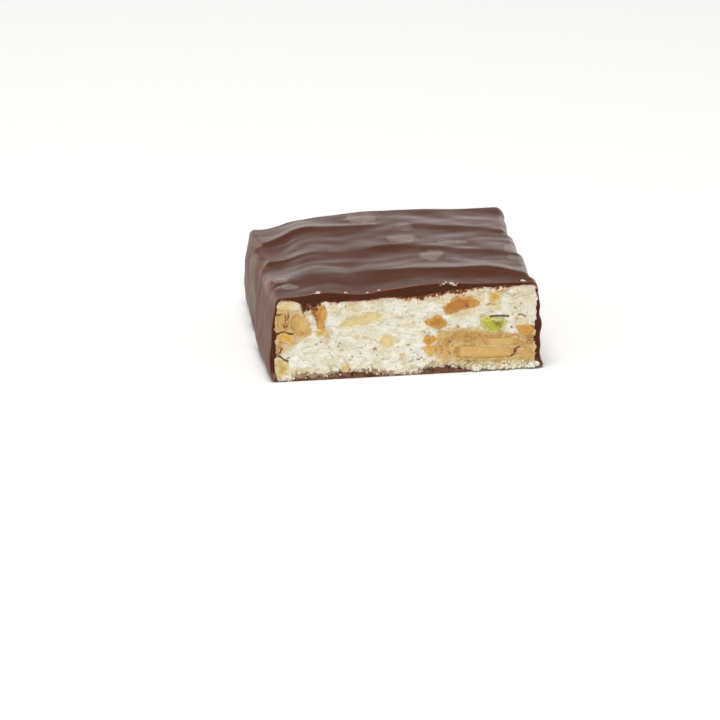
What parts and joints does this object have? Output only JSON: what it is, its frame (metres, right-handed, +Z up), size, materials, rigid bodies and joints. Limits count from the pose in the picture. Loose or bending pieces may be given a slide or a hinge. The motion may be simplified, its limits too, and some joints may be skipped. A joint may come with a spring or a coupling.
{
  "type": "nougat bar",
  "caption": "Short piece of a chocolate-coated nougat bar, cut straight across to show white nougat with roasted almonds and a pistachio.",
  "frame": {"origin": "middle of the flat bottom it rests on", "axes": "+X across the bar, -Y out of the cut face, +Y towards the coated end, +Z up"},
  "size_m": [0.0496, 0.04, 0.0178],
  "materials": {
    "chocolate": "satin milk chocolate, poured and set in waves",
    "nougat": "matt aerated nougat, cut",
    "almond": "roasted almond, cut",
    "pale_almond": "pale almond under thin nougat, cut",
    "toasted_almond": "dark roasted almond, cut",
    "pistachio": "green pistachio, cut"
  },
  "bodies": {
    "root": {"chocolate_coat": "chocolate", "nougat": "nougat", "almond_corner_rough": "almond", "almond_corner_smooth": "almond", "almond_side_chip": "almond", "almond_side_crumb": "almond", "almond_whole_upper": "almond", "almond_whole_lower": "almond", "almond_broken_left": "almond", "almond_broken_right": "almond", "almond_crumb_lower": "almond", "almond_crumb_foot": "almond", "almond_foot_pale": "pale_almond", "almond_sliver_pale": "pale_almond", "almond_dot_pale": "pale_almond", "almond_chip_high": "pale_almond", "almond_skin_upright": "toasted_almond", "almond_shard_toasted": "toasted_almond", "almond_knob_toasted": "toasted_almond", "almond_crumb_right": "toasted_almond", "almond_crumb_upper": "toasted_almond", "pistachio": "pistachio"}
  },
  "joints": []
}
